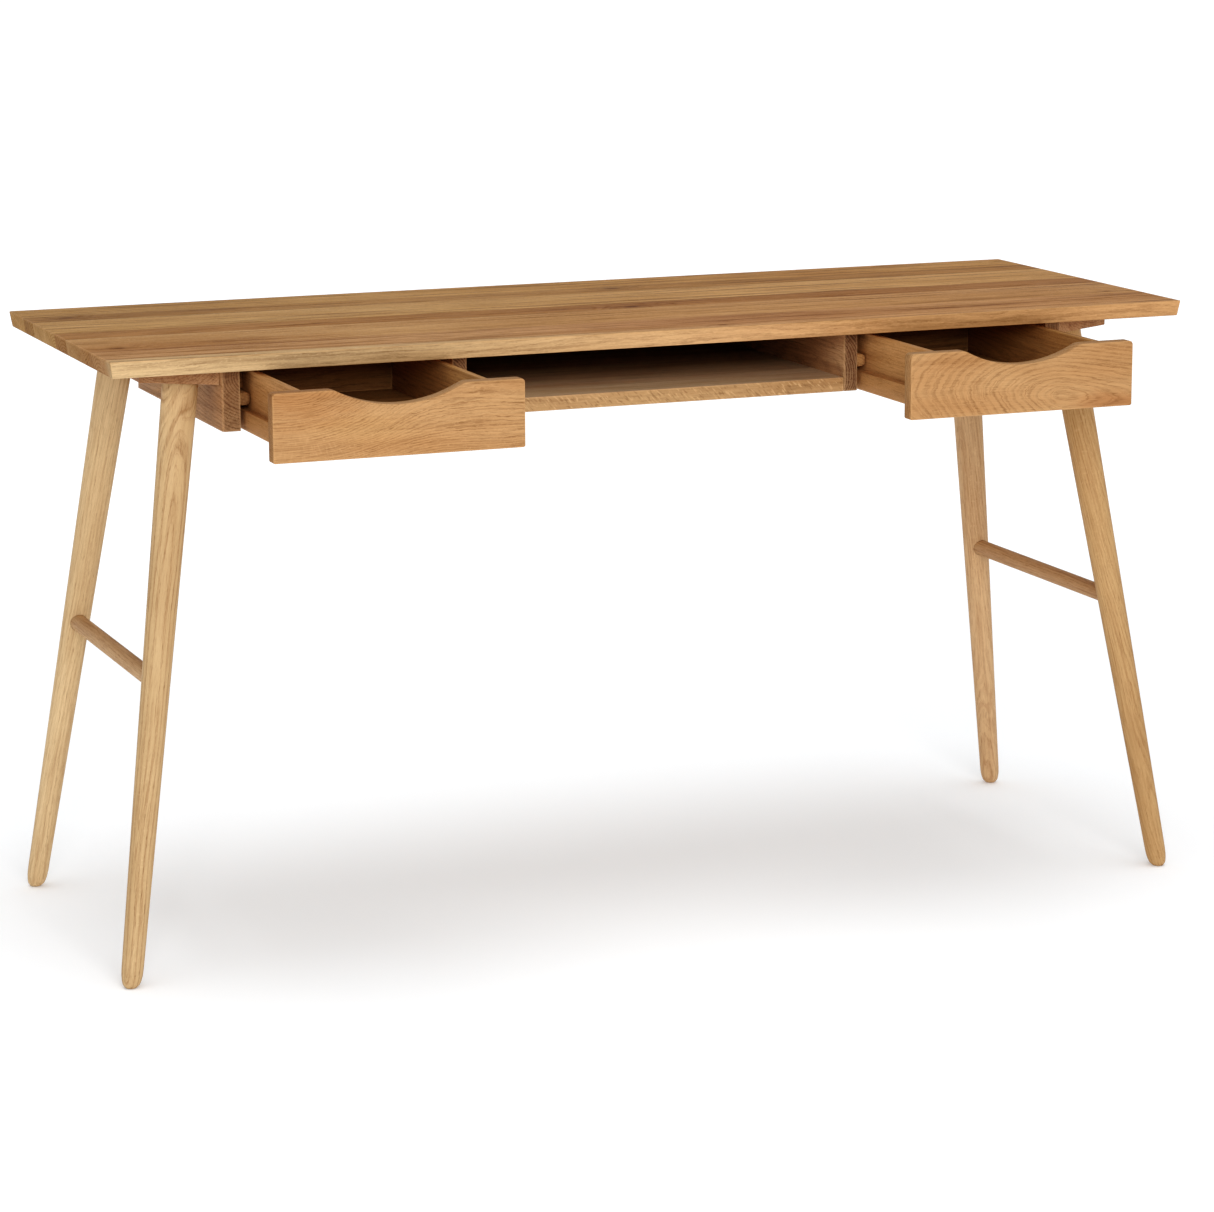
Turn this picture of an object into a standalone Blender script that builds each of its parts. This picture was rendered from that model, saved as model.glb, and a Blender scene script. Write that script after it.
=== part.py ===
"""Writing desk in solid oak: a plank top on four splayed, turned legs, with two scooped drawers on wooden
runners either side of an open shelf. Metres, +Z up, X to the right, the user sits on the -Y side."""

import math

import bmesh
import bpy
from mathutils import Vector

# ---- overall
DESK_HEIGHT = 0.750
TOP_WIDTH = 1.404
TOP_DEPTH = 0.500
TOP_THICKNESS = 0.0195
TOP_UNDERCUT = 0.003
FIT_GAP = 0.0003

# ---- case under the top: two side panels, two dividers, a back and a shelf
CASE_FRONT_Y = -0.2005
CASE_BACK_Y = 0.181
CASE_BOTTOM_Z = 0.6528
PANEL_OUTER_X = 0.5555
PANEL_THICKNESS = 0.0215
PANEL_ROUNDING = 0.005
DIVIDER_INNER_X = 0.2505
DIVIDER_THICKNESS = 0.0185
SHELF_THICKNESS = 0.018
BACK_THICKNESS = 0.012

# ---- drawers
FRONT_HEIGHT = 0.0805
FRONT_THICKNESS = 0.018
FRONT_TOP_GAP = {"left": 0.0045, "right": 0.0068}
FRONT_TOP_CORNER = 0.005
FRONT_BOTTOM_CORNER = 0.0025
SCOOP_HALF_WIDTH = 0.079
SCOOP_DEPTH = 0.0205
SCOOP_SHOULDER = 0.020
BOX_SIDE_GAP = 0.0065
BOX_SIDE_THICKNESS = 0.0165
BOX_BOTTOM_Z = 0.6524
BOX_TOP_Z = 0.7232
BOX_DEPTH = 0.350
BOX_BACK_THICKNESS = 0.012
BOTTOM_THICKNESS = 0.006
BOTTOM_RAISE = 0.008
BOTTOM_GROOVE_DEPTH = 0.004
DRAWER_OPENING = {"left": 0.1812, "right": 0.1691}

# ---- runners, one on each side of a drawer, in a groove of its side
RUNNER_TOP_Z = 0.6972
RUNNER_HEIGHT = 0.0155
RUNNER_PROJECTION = 0.0145
RUNNER_FRONT_Y = -0.196
RUNNER_LENGTH = 0.330
RUNNER_NOSE = 0.0055
GROOVE_DEPTH = 0.009
GROOVE_CLEARANCE_BELOW = 0.0062
# a side bears on its runner through a lip over the rear of the groove; in front of the lip the groove is open upwards
GROOVE_LIP_START = 0.225

# ---- leg boards: wedges that run from front to back beside the case
LEG_BOARD_OUTER_X = 0.644
LEG_BOARD_OUTER_HALF = 0.158
LEG_BOARD_INNER_FRONT = 0.190
LEG_BOARD_INNER_BACK = 0.178
LEG_BOARD_OUTER_THICKNESS = 0.0198
LEG_BOARD_INNER_THICKNESS = 0.0228

# ---- legs and side stretchers
LEG_REFERENCE_Z = 0.710
LEG_REFERENCE_XY = (0.5901, 0.1443)
LEG_FOOT_XY = (0.6968, 0.2384)
LEG_TOP_RADIUS = 0.0216
LEG_FOOT_RADIUS = 0.0129
FOOT_ROUNDING = 0.022
FOOT_FLAT_SHARE = 0.52
TENON_RADIUS = 0.012
TENON_LENGTH = 0.014
STRETCHER_Z = 0.357
STRETCHER_RADIUS = 0.01075

# ---- screws
SCREW_HEAD_RADIUS = 0.0038
SCREW_HEAD_HEIGHT = 0.0026
SCREW_SHANK_RADIUS = 0.0019
SCREW_SHANK_LENGTH = 0.0225
SCREW_SLOT_WIDTH = 0.0009
SCREW_SLOT_DEPTH = 0.0012
COUNTERBORE_RADIUS = 0.0045
COUNTERBORE_DEPTH = 0.0045
LEG_BOARD_SCREW_X = 0.600
LEG_BOARD_SCREW_YS = (-0.085, 0.0, 0.085)
RUNNER_SCREW_OFFSETS = (0.045, 0.285)

# ---- how finely round shapes are faceted, and the small softened edges
LEG_FACETS = 48
ROUND_FACETS = 36
SCREW_FACETS = 16
ARC_STEP = math.radians(4)
EDGE_SOFTENING = 0.0012

# ---- derived
UNDERSIDE_Z = DESK_HEIGHT - TOP_THICKNESS
CASE_TOP_Z = UNDERSIDE_Z - FIT_GAP
PANEL_INNER_X = PANEL_OUTER_X - PANEL_THICKNESS
DIVIDER_OUTER_X = DIVIDER_INNER_X + DIVIDER_THICKNESS
CASE_INSIDE_BACK_Y = CASE_BACK_Y - BACK_THICKNESS - FIT_GAP
FRONT_WIDTH = PANEL_OUTER_X - DIVIDER_INNER_X - 2 * FIT_GAP
FRONT_CENTRE_X = (PANEL_OUTER_X + DIVIDER_INNER_X) / 2
BAY_CENTRE_X = (PANEL_INNER_X + DIVIDER_OUTER_X) / 2
BOX_WIDTH = PANEL_INNER_X - DIVIDER_OUTER_X - 2 * BOX_SIDE_GAP
BOX_INSIDE_WIDTH = BOX_WIDTH - 2 * BOX_SIDE_THICKNESS
BOTTOM_Z = BOX_BOTTOM_Z + BOTTOM_RAISE
RUNNER_BOTTOM_Z = RUNNER_TOP_Z - RUNNER_HEIGHT
GROOVE_TOP_Z = RUNNER_TOP_Z + FIT_GAP
GROOVE_BOTTOM_Z = RUNNER_BOTTOM_Z - GROOVE_CLEARANCE_BELOW
LEG_BOARD_INNER_X = PANEL_OUTER_X + FIT_GAP
# The row's origin is on the floor, midway between the most open drawer's face and the back edge of the top.
MOST_OPEN_FRONT_Y = CASE_FRONT_Y - FIT_GAP - FRONT_THICKNESS - max(DRAWER_OPENING.values())
ORIGIN_SHIFT_Y = -(MOST_OPEN_FRONT_Y + TOP_DEPTH / 2) / 2

OAK_TOP = (0.545, 0.335, 0.165, 1.0)
OAK_CASE = (0.500, 0.300, 0.150, 1.0)
OAK_FRONT = (0.640, 0.420, 0.215, 1.0)
OAK_LEG = (0.620, 0.410, 0.215, 1.0)
OAK_INSIDE = (0.480, 0.300, 0.155, 1.0)
STEEL = (0.560, 0.550, 0.530, 1.0)


def clear_scene():
    for obj in list(bpy.data.objects):
        bpy.data.objects.remove(obj, do_unlink=True)
    for collection in list(bpy.data.collections):
        bpy.data.collections.remove(collection)


def new_collection(name):
    collection = bpy.data.collections.new(name)
    bpy.context.scene.collection.children.link(collection)
    return collection


def new_material(name, colour, roughness, metallic=0.0):
    material = bpy.data.materials.new(name)
    material.use_nodes = True
    shader = material.node_tree.nodes["Principled BSDF"]
    shader.inputs["Base Color"].default_value = colour
    shader.inputs["Roughness"].default_value = roughness
    shader.inputs["Metallic"].default_value = metallic
    material.diffuse_color = colour
    return material


def finish_mesh(bm, name):
    bmesh.ops.recalc_face_normals(bm, faces=bm.faces)
    mesh = bpy.data.meshes.new(name)
    bm.to_mesh(mesh)
    bm.free()
    return mesh


def add_part(name, mesh, colour, roughness=0.45, metallic=0.0, location=(0, 0, 0), parent=None):
    """A visible piece of the desk with its own material, parented so that its body moves as one."""
    part = bpy.data.objects.new(name, mesh)
    parts.objects.link(part)
    part.parent = parent or desk
    part.location = location
    mesh.materials.append(new_material(name, colour, roughness, metallic))
    return part


def soften(part, width=EDGE_SOFTENING, angle=math.radians(40)):
    bevel = part.modifiers.new("softened edges", "BEVEL")
    bevel.width = width
    bevel.segments = 2
    bevel.limit_method = "ANGLE"
    bevel.angle_limit = angle
    return part


def box_mesh(name, low, high):
    bm = bmesh.new()
    bmesh.ops.create_cube(bm, size=1.0)
    centre = [(a + b) / 2 for a, b in zip(low, high)]
    size = [b - a for a, b in zip(low, high)]
    for vert in bm.verts:
        vert.co = Vector([c + s * v for c, s, v in zip(centre, size, vert.co)])
    return finish_mesh(bm, name)


def prism_mesh(name, outline, place, start, end):
    """An outline of (a, b) pairs drawn out from start to end; place(a, b, t) gives the point in space."""
    bm = bmesh.new()
    near = [bm.verts.new(place(a, b, start)) for a, b in outline]
    far = [bm.verts.new(place(a, b, end)) for a, b in outline]
    bm.faces.new(near)
    bm.faces.new(far)
    for i in range(len(outline)):
        j = (i + 1) % len(outline)
        bm.faces.new((near[i], near[j], far[j], far[i]))
    return finish_mesh(bm, name)


def skin_rings(bm, rings):
    """Closes a stack of equal rings of points into one body with a flat cap at each end."""
    loops = [[bm.verts.new(point) for point in ring] for ring in rings]
    count = len(loops[0])
    for low, high in zip(loops, loops[1:]):
        for i in range(count):
            j = (i + 1) % count
            bm.faces.new((low[i], low[j], high[j], high[i]))
    bm.faces.new(loops[0])
    bm.faces.new(loops[-1])


def across(axis):
    """Two unit vectors square to an axis and to each other."""
    helper = Vector((0, 0, 1)) if abs(axis.z) < 0.9 else Vector((1, 0, 0))
    u = axis.cross(helper).normalized()
    return u, axis.cross(u).normalized()


def ring(centre, axis, radius, facets):
    u, v = across(axis)
    turns = [2 * math.pi * i / facets for i in range(facets)]
    return [centre + radius * (math.cos(t) * u + math.sin(t) * v) for t in turns]


def turned(bm, start, axis, profile, facets):
    """A round body: profile lists (distance along the axis, radius)."""
    axis = axis.normalized()
    skin_rings(bm, [ring(start + axis * along, axis, radius, facets) for along, radius in profile])


def cutter_from(name, bm):
    cutter = bpy.data.objects.new(name, finish_mesh(bm, name))
    cutters.objects.link(cutter)
    cutter.parent = desk
    cutter.hide_render = True
    cutter.display_type = "WIRE"
    return cutter


def cut(part, cutter):
    boolean = part.modifiers.new(cutter.name, "BOOLEAN")
    boolean.operation = "DIFFERENCE"
    boolean.solver = "EXACT"
    boolean.object = cutter


def shade_round(mesh, limit=math.radians(35)):
    """Smooth faces with sharp edges kept where two faces meet at more than the limit."""
    for polygon in mesh.polygons:
        polygon.use_smooth = True
    mesh.set_sharp_from_angle(angle=limit)


def arc(centre, radius, start, end):
    """Points of an arc from one angle to another, both ends included."""
    steps = max(2, math.ceil(abs(end - start) / ARC_STEP))
    angles = [start + (end - start) * i / steps for i in range(steps + 1)]
    return [(centre[0] + radius * math.cos(t), centre[1] + radius * math.sin(t)) for t in angles]


# ---------------------------------------------------------------- the top


def build_top():
    """A slab whose edges lean in towards the bottom; screw holes from below take the leg-board screws."""
    half_x, half_y = TOP_WIDTH / 2, TOP_DEPTH / 2
    bm = bmesh.new()
    levels = ((UNDERSIDE_Z, TOP_UNDERCUT), (DESK_HEIGHT, 0.0))
    signs = ((-1, -1), (1, -1), (1, 1), (-1, 1))
    skin_rings(bm, [[Vector((sx * (half_x - inset), sy * (half_y - inset), z)) for sx, sy in signs]
                    for z, inset in levels])
    top = soften(add_part("tabletop", finish_mesh(bm, "tabletop"), OAK_TOP, 0.42))
    bm = bmesh.new()
    for side in (-1, 1):
        for y in LEG_BOARD_SCREW_YS:
            mouth = Vector((side * LEG_BOARD_SCREW_X, y, UNDERSIDE_Z - 2 * COUNTERBORE_DEPTH))
            reach = leg_board_screw_tip() - mouth.z + FIT_GAP
            turned(bm, mouth, Vector((0, 0, 1)),
                   ((0, SCREW_SHANK_RADIUS + FIT_GAP), (reach, SCREW_SHANK_RADIUS + FIT_GAP)), SCREW_FACETS)
    cut(top, cutter_from("tabletop_screw_holes", bm))


# ---------------------------------------------------------------- the case


def panel_outline(side):
    """Plan of a side panel: a rectangle with its outer front edge rounded over."""
    outer, inner = PANEL_OUTER_X, PANEL_INNER_X
    corner = (outer - PANEL_ROUNDING, CASE_FRONT_Y + PANEL_ROUNDING)
    points = [(inner, CASE_BACK_Y), (inner, CASE_FRONT_Y)]
    points += arc(corner, PANEL_ROUNDING, -math.pi / 2, 0)
    points += [(outer, CASE_BACK_Y)]
    return [(side * x, y) for x, y in points]


def runner_screw_places():
    """The (y, z) of each runner's screws."""
    z = RUNNER_TOP_Z - RUNNER_HEIGHT / 2
    return [(RUNNER_FRONT_Y + offset, z) for offset in RUNNER_SCREW_OFFSETS]


def pilot_holes(name, face_x, into):
    """Blind holes into an upright, from its face at face_x, pointing along into (-1 or 1)."""
    bm = bmesh.new()
    radius = SCREW_SHANK_RADIUS + FIT_GAP
    depth = SCREW_SHANK_LENGTH - (RUNNER_PROJECTION - COUNTERBORE_DEPTH)
    for y, z in runner_screw_places():
        start = Vector((face_x - into * COUNTERBORE_DEPTH, y, z))
        turned(bm, start, Vector((into, 0, 0)), ((0, radius), (COUNTERBORE_DEPTH + depth, radius)), SCREW_FACETS)
    return cutter_from(name, bm)


def build_case():
    for word, side in (("left", -1), ("right", 1)):
        name = f"case_side_{word}"
        mesh = prism_mesh(name, panel_outline(side), lambda x, y, z: (x, y, z), CASE_BOTTOM_Z, CASE_TOP_Z)
        panel = add_part(name, mesh, OAK_CASE)
        cut(panel, pilot_holes(f"{name}_holes", side * PANEL_INNER_X, side))

        name = f"case_divider_{word}"
        xs = sorted((side * DIVIDER_INNER_X, side * DIVIDER_OUTER_X))
        mesh = box_mesh(name, (xs[0], CASE_FRONT_Y, CASE_BOTTOM_Z), (xs[1], CASE_INSIDE_BACK_Y, CASE_TOP_Z))
        divider = soften(add_part(name, mesh, OAK_CASE))
        cut(divider, pilot_holes(f"{name}_holes", side * DIVIDER_OUTER_X, -side))

    x = DIVIDER_INNER_X - FIT_GAP
    shelf_top = CASE_BOTTOM_Z + SHELF_THICKNESS
    mesh = box_mesh("centre_shelf", (-x, CASE_FRONT_Y, CASE_BOTTOM_Z), (x, CASE_INSIDE_BACK_Y, shelf_top))
    soften(add_part("centre_shelf", mesh, OAK_CASE))
    x = PANEL_INNER_X - FIT_GAP
    inside = CASE_BACK_Y - BACK_THICKNESS
    mesh = box_mesh("case_back", (-x, inside, CASE_BOTTOM_Z), (x, CASE_BACK_Y, CASE_TOP_Z))
    soften(add_part("case_back", mesh, OAK_INSIDE))


def build_runner(name, face_x, into):
    """A strip on the upright at face_x that stands out along into, with a rounded free face and front nose."""
    start = face_x + into * FIT_GAP
    free = start + into * RUNNER_PROJECTION
    bm = bmesh.new()
    bmesh.ops.create_cube(bm, size=1.0)
    low = Vector((min(start, free), RUNNER_FRONT_Y, RUNNER_BOTTOM_Z))
    high = Vector((max(start, free), RUNNER_FRONT_Y + RUNNER_LENGTH, RUNNER_TOP_Z))
    for vert in bm.verts:
        vert.co = Vector([(a + b) / 2 + (b - a) * v for a, b, v in zip(low, high, vert.co)])
    rounded = [edge for edge in bm.edges
               if all(abs(v.co.x - free) < FIT_GAP for v in edge.verts)
               or all(abs(v.co.y - RUNNER_FRONT_Y) < FIT_GAP for v in edge.verts)]
    rounded = [edge for edge in rounded if not all(abs(v.co.x - start) < FIT_GAP for v in edge.verts)]
    bmesh.ops.bevel(bm, geom=rounded, offset=RUNNER_NOSE, segments=4, profile=0.5, affect="EDGES")
    mesh = finish_mesh(bm, name)
    shade_round(mesh)
    runner = add_part(name, mesh, OAK_CASE)

    bm = bmesh.new()
    for y, z in runner_screw_places():
        mouth = Vector((free + into * FIT_GAP, y, z))
        pilot = SCREW_SHANK_RADIUS + FIT_GAP
        step = COUNTERBORE_DEPTH + FIT_GAP
        turned(bm, mouth, Vector((-into, 0, 0)),
               ((0, COUNTERBORE_RADIUS), (step, COUNTERBORE_RADIUS), (step, pilot),
                (RUNNER_PROJECTION + 2 * FIT_GAP, pilot)), SCREW_FACETS)
    cut(runner, cutter_from(f"{name}_holes", bm))
    for number, (y, z) in enumerate(runner_screw_places(), 1):
        seat = Vector((free - into * COUNTERBORE_DEPTH, y, z))
        place_screw(f"{name}_screw_{number}", seat, Vector((-into, 0, 0)))


# ---------------------------------------------------------------- leg boards, legs, stretchers


def board_underside(x):
    """Height of a leg board's sloping underside at a distance x from the middle of the desk."""
    share = (abs(x) - LEG_BOARD_INNER_X) / (LEG_BOARD_OUTER_X - LEG_BOARD_INNER_X)
    return CASE_TOP_Z - LEG_BOARD_INNER_THICKNESS + share * (LEG_BOARD_INNER_THICKNESS - LEG_BOARD_OUTER_THICKNESS)


def leg_line(side, end):
    """A point on the leg's centre line at the floor, and its direction with a z of 1."""
    foot = Vector((side * LEG_FOOT_XY[0], end * LEG_FOOT_XY[1], 0))
    top = Vector((side * LEG_REFERENCE_XY[0], end * LEG_REFERENCE_XY[1], LEG_REFERENCE_Z))
    return foot, (top - foot) / LEG_REFERENCE_Z


def leg_radius(z):
    return LEG_FOOT_RADIUS + (LEG_TOP_RADIUS - LEG_FOOT_RADIUS) * z / LEG_REFERENCE_Z


def leg_top_z(side, end):
    """Height at which the leg's centre line meets the board's underside."""
    foot, step = leg_line(side, end)
    z = LEG_REFERENCE_Z
    for _ in range(8):
        z = board_underside((foot + step * z).x) - FIT_GAP
    return z


def leg_rings(side, end):
    foot, step = leg_line(side, end)
    axis = step.normalized()
    top_z = leg_top_z(side, end)
    slope = (LEG_BOARD_OUTER_THICKNESS - LEG_BOARD_INNER_THICKNESS) / (LEG_BOARD_OUTER_X - LEG_BOARD_INNER_X)
    rings = []
    for share in (0.0, 0.18, 0.4, 0.65, 1.0):
        z = FOOT_ROUNDING * share
        bulge = FOOT_FLAT_SHARE + (1 - FOOT_FLAT_SHARE) * math.sqrt(1 - (1 - share) ** 2)
        level = [point + axis * ((z - point.z) / axis.z) * (1 - share)
                 for point in ring(foot + step * z, axis, leg_radius(z) * bulge, LEG_FACETS)]
        rings.append(level)
    for z in (STRETCHER_Z / 2, STRETCHER_Z, (STRETCHER_Z + top_z) / 2):
        rings.append(ring(foot + step * z, axis, leg_radius(z), LEG_FACETS))
    centre = foot + step * top_z
    normal = Vector((side * slope, 0, 1))
    for radius in (leg_radius(top_z), TENON_RADIUS):
        rings.append([point - axis * ((point - centre).dot(normal) / axis.dot(normal))
                      for point in ring(centre, axis, radius, LEG_FACETS)])
    rings.append(ring(centre + axis * TENON_LENGTH, axis, TENON_RADIUS, LEG_FACETS))
    return rings


def build_leg_board(word, side):
    """A wedge fixed under the top beside the case: thick against the case, thin at its outer edge."""
    name = f"leg_board_{word}"
    inner, outer = LEG_BOARD_INNER_X, LEG_BOARD_OUTER_X
    plan = ((inner, -LEG_BOARD_INNER_FRONT), (outer, -LEG_BOARD_OUTER_HALF),
            (outer, LEG_BOARD_OUTER_HALF), (inner, LEG_BOARD_INNER_BACK))
    bm = bmesh.new()
    skin_rings(bm, [[Vector((side * x, y, board_underside(x))) for x, y in plan],
                    [Vector((side * x, y, CASE_TOP_Z)) for x, y in plan]])
    board = soften(add_part(name, finish_mesh(bm, name), OAK_CASE))

    bm = bmesh.new()
    for y in LEG_BOARD_SCREW_YS:
        seat = board_underside(LEG_BOARD_SCREW_X) + COUNTERBORE_DEPTH
        pilot = SCREW_SHANK_RADIUS + FIT_GAP
        low = Vector((side * LEG_BOARD_SCREW_X, y, seat - 2 * COUNTERBORE_DEPTH))
        step = 2 * COUNTERBORE_DEPTH + FIT_GAP
        turned(bm, low, Vector((0, 0, 1)),
               ((0, COUNTERBORE_RADIUS), (step, COUNTERBORE_RADIUS), (step, pilot),
                (CASE_TOP_Z - low.z + FIT_GAP, pilot)), SCREW_FACETS)
        place_screw(f"{name}_screw_{LEG_BOARD_SCREW_YS.index(y) + 1}",
                    Vector((side * LEG_BOARD_SCREW_X, y, seat)), Vector((0, 0, 1)))
    for end in (-1, 1):
        foot, direction = leg_line(side, end)
        axis = direction.normalized()
        shoulder = foot + direction * leg_top_z(side, end)
        turned(bm, shoulder - axis * TENON_LENGTH, axis,
               ((0, TENON_RADIUS + FIT_GAP), (2 * TENON_LENGTH + 2 * FIT_GAP, TENON_RADIUS + FIT_GAP)), LEG_FACETS)
    cut(board, cutter_from(f"{name}_holes", bm))


def leg_board_screw_tip():
    return board_underside(LEG_BOARD_SCREW_X) + COUNTERBORE_DEPTH + SCREW_SHANK_LENGTH


def build_leg(name, side, end):
    bm = bmesh.new()
    skin_rings(bm, leg_rings(side, end))
    mesh = finish_mesh(bm, name)
    shade_round(mesh)
    leg = add_part(name, mesh, OAK_LEG)
    foot, step = leg_line(side, end)
    bottom = foot + step * STRETCHER_Z
    bm = bmesh.new()
    turned(bm, bottom, Vector((0, -end, 0)),
           ((0, STRETCHER_RADIUS + FIT_GAP), (2 * leg_radius(STRETCHER_Z), STRETCHER_RADIUS + FIT_GAP)),
           ROUND_FACETS)
    cut(leg, cutter_from(f"{name}_hole", bm))


def build_stretcher(word, side):
    name = f"side_stretcher_{word}"
    foot, step = leg_line(side, 1)
    seat = foot + step * STRETCHER_Z
    reach = seat.y - 2 * FIT_GAP
    bm = bmesh.new()
    turned(bm, Vector((seat.x, -reach, STRETCHER_Z)), Vector((0, 1, 0)),
           ((0, STRETCHER_RADIUS - EDGE_SOFTENING), (EDGE_SOFTENING, STRETCHER_RADIUS),
            (2 * reach - EDGE_SOFTENING, STRETCHER_RADIUS), (2 * reach, STRETCHER_RADIUS - EDGE_SOFTENING)),
           ROUND_FACETS)
    mesh = finish_mesh(bm, name)
    shade_round(mesh)
    add_part(name, mesh, OAK_LEG)


# ---------------------------------------------------------------- screws


def build_screw_mesh():
    """A countersunk wood screw along +Z with its head's slotted face at the bottom."""
    bm = bmesh.new()
    turned(bm, Vector((0, 0, -SCREW_HEAD_HEIGHT)), Vector((0, 0, 1)),
           ((0, SCREW_HEAD_RADIUS), (SCREW_HEAD_HEIGHT / 3, SCREW_HEAD_RADIUS),
            (SCREW_HEAD_HEIGHT, SCREW_SHANK_RADIUS), (0.85 * SCREW_SHANK_LENGTH, SCREW_SHANK_RADIUS),
            (SCREW_HEAD_HEIGHT + SCREW_SHANK_LENGTH - FIT_GAP, SCREW_SHANK_RADIUS / 4)), SCREW_FACETS)
    blank = bpy.data.objects.new("screw_blank", finish_mesh(bm, "screw_blank"))
    cutters.objects.link(blank)
    blank.hide_render = True
    blank.display_type = "WIRE"
    bm = bmesh.new()
    reach = 2 * SCREW_HEAD_RADIUS
    mesh = box_mesh("screw_slot", (-reach, -SCREW_SLOT_WIDTH / 2, -reach),
                    (reach, SCREW_SLOT_WIDTH / 2, SCREW_SLOT_DEPTH - SCREW_HEAD_HEIGHT))
    bm.from_mesh(mesh)
    cut(blank, cutter_from("screw_slot_cutter", bm))
    bpy.context.view_layer.update()
    graph = bpy.context.evaluated_depsgraph_get()
    return bpy.data.meshes.new_from_object(blank.evaluated_get(graph))


def place_screw(name, seat, axis):
    """The underside of the head rests at seat, and the shank points along axis."""
    screw = add_part(name, screw_mesh.copy(), STEEL, 0.32, 1.0, location=seat)
    screw.rotation_euler = Vector((0, 0, 1)).rotation_difference(axis).to_euler()


# ---------------------------------------------------------------- drawers


def front_outline():
    """Front seen from the user's side, centred on x = 0 and standing on z = 0: rounded corners and a scoop."""
    half, height = FRONT_WIDTH / 2, FRONT_HEIGHT
    low, high = FRONT_BOTTOM_CORNER, FRONT_TOP_CORNER
    points = arc((-half + low, low), low, math.pi, 1.5 * math.pi)
    points += arc((half - low, low), low, 1.5 * math.pi, 2 * math.pi)
    points += arc((half - high, height - high), high, 0, math.pi / 2)
    right = scoop_half()
    points += right
    points += [(-x, z) for x, z in reversed(right[:-1])]
    points += arc((-half + high, height - high), high, math.pi / 2, math.pi)
    return points


def scoop_half():
    """The scoop's right half, from its shoulder down to its lowest point: a wide arc met by a rounded shoulder."""
    wide = (SCOOP_HALF_WIDTH ** 2 + SCOOP_DEPTH ** 2) / (2 * SCOOP_DEPTH)
    centre_z = FRONT_HEIGHT - SCOOP_DEPTH + wide
    shoulder_z = FRONT_HEIGHT - SCOOP_SHOULDER
    shoulder_x = math.sqrt((wide + SCOOP_SHOULDER) ** 2 - (centre_z - shoulder_z) ** 2)
    meet = math.atan2(centre_z - shoulder_z, -shoulder_x)
    points = arc((shoulder_x, shoulder_z), SCOOP_SHOULDER, math.pi / 2, meet)
    sweep = -math.pi / 2 - (meet - math.pi)
    steps = 9
    points += [(wide * math.cos(meet - math.pi + sweep * i / steps),
                centre_z + wide * math.sin(meet - math.pi + sweep * i / steps)) for i in range(1, steps + 1)]
    return points


def side_outline(hand):
    """Cross-section of a drawer side before its groove is cut, with the slot for the bottom inside."""
    outer, inner = BOX_WIDTH / 2, BOX_INSIDE_WIDTH / 2
    slot_x = inner + BOTTOM_GROOVE_DEPTH
    slot_low = BOTTOM_Z - FIT_GAP
    slot_high = BOTTOM_Z + BOTTOM_THICKNESS + FIT_GAP
    points = ((outer, BOX_BOTTOM_Z), (outer, BOX_TOP_Z), (inner, BOX_TOP_Z),
              (inner, slot_high), (slot_x, slot_high), (slot_x, slot_low), (inner, slot_low),
              (inner, BOX_BOTTOM_Z))
    return [(hand * x, z) for x, z in points]


def runner_groove(name, hand, slide):
    """Cutter for the runner's groove in the outside of a drawer side, open to the top in front of its lip."""
    past = 0.002
    points = ((-past, GROOVE_BOTTOM_Z), (BOX_DEPTH + past, GROOVE_BOTTOM_Z), (BOX_DEPTH + past, GROOVE_TOP_Z),
              (GROOVE_LIP_START, GROOVE_TOP_Z), (GROOVE_LIP_START, BOX_TOP_Z + past), (-past, BOX_TOP_Z + past))
    bm = bmesh.new()
    bm.from_mesh(prism_mesh(name, points, lambda y, z, x: (hand * x, y, z),
                            BOX_WIDTH / 2 - GROOVE_DEPTH, BOX_WIDTH / 2 + past))
    cutter = cutter_from(f"{name}_groove", bm)
    cutter.parent = slide
    return cutter


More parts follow.
